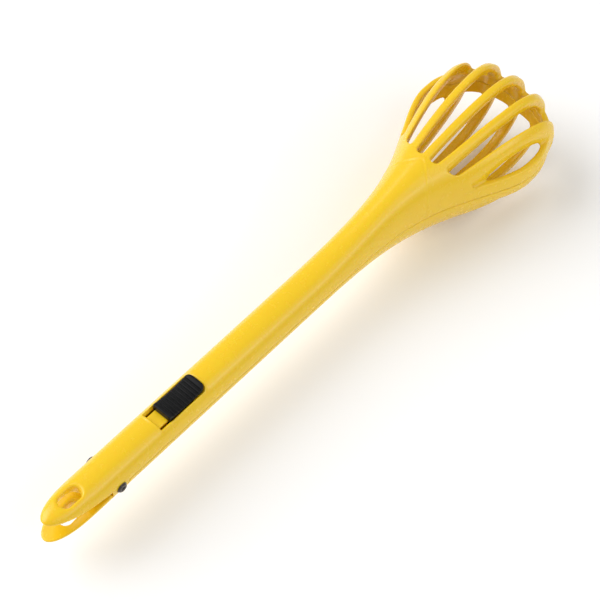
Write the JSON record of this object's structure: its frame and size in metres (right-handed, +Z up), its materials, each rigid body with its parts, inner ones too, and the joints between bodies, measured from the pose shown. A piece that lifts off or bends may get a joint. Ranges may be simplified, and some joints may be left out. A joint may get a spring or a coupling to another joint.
{
  "type": "whisk tongs",
  "caption": "Two-in-one kitchen whisk tongs: two half-shell arms on a sprung rivet, a caged head of curved tines, a sliding lock and a hanging eye.",
  "frame": {"origin": "below the middle of the closed tool, at the height of the lowest point of the cage", "axes": "+X from the tail to the cage, +Z up through the arm with the lock, +Y to the left"},
  "size_m": [0.2833, 0.0596, 0.0495],
  "materials": {
    "yellow_plastic": "glossy moulded nylon",
    "dark_nickel_steel": "dark nickel plate",
    "spring_steel": "drawn wire",
    "black_plastic": "satin moulded, ribbed"
  },
  "bodies": {
    "lower": {"lower_arm": "yellow_plastic", "pivot_rivet": "dark_nickel_steel", "rivet_washer": "dark_nickel_steel", "torsion_spring": "spring_steel"},
    "upper": {"upper_arm": "yellow_plastic"},
    "lock": {"lock_button": "black_plastic", "lock_hook": "black_plastic"}
  },
  "joints": [
    {"name": "arm_open", "type": "hinge", "parent": "lower", "child": "upper", "pos_m": [-0.1075, 0, 0.025], "axis": [0, -1, 0], "range_deg": [0, 20], "deforming": ["torsion_spring"]},
    {"name": "lock_slide", "type": "slide", "parent": "upper", "child": "lock", "axis": [1, 0, 0], "range_m": [-0.0047, 0]}
  ]
}
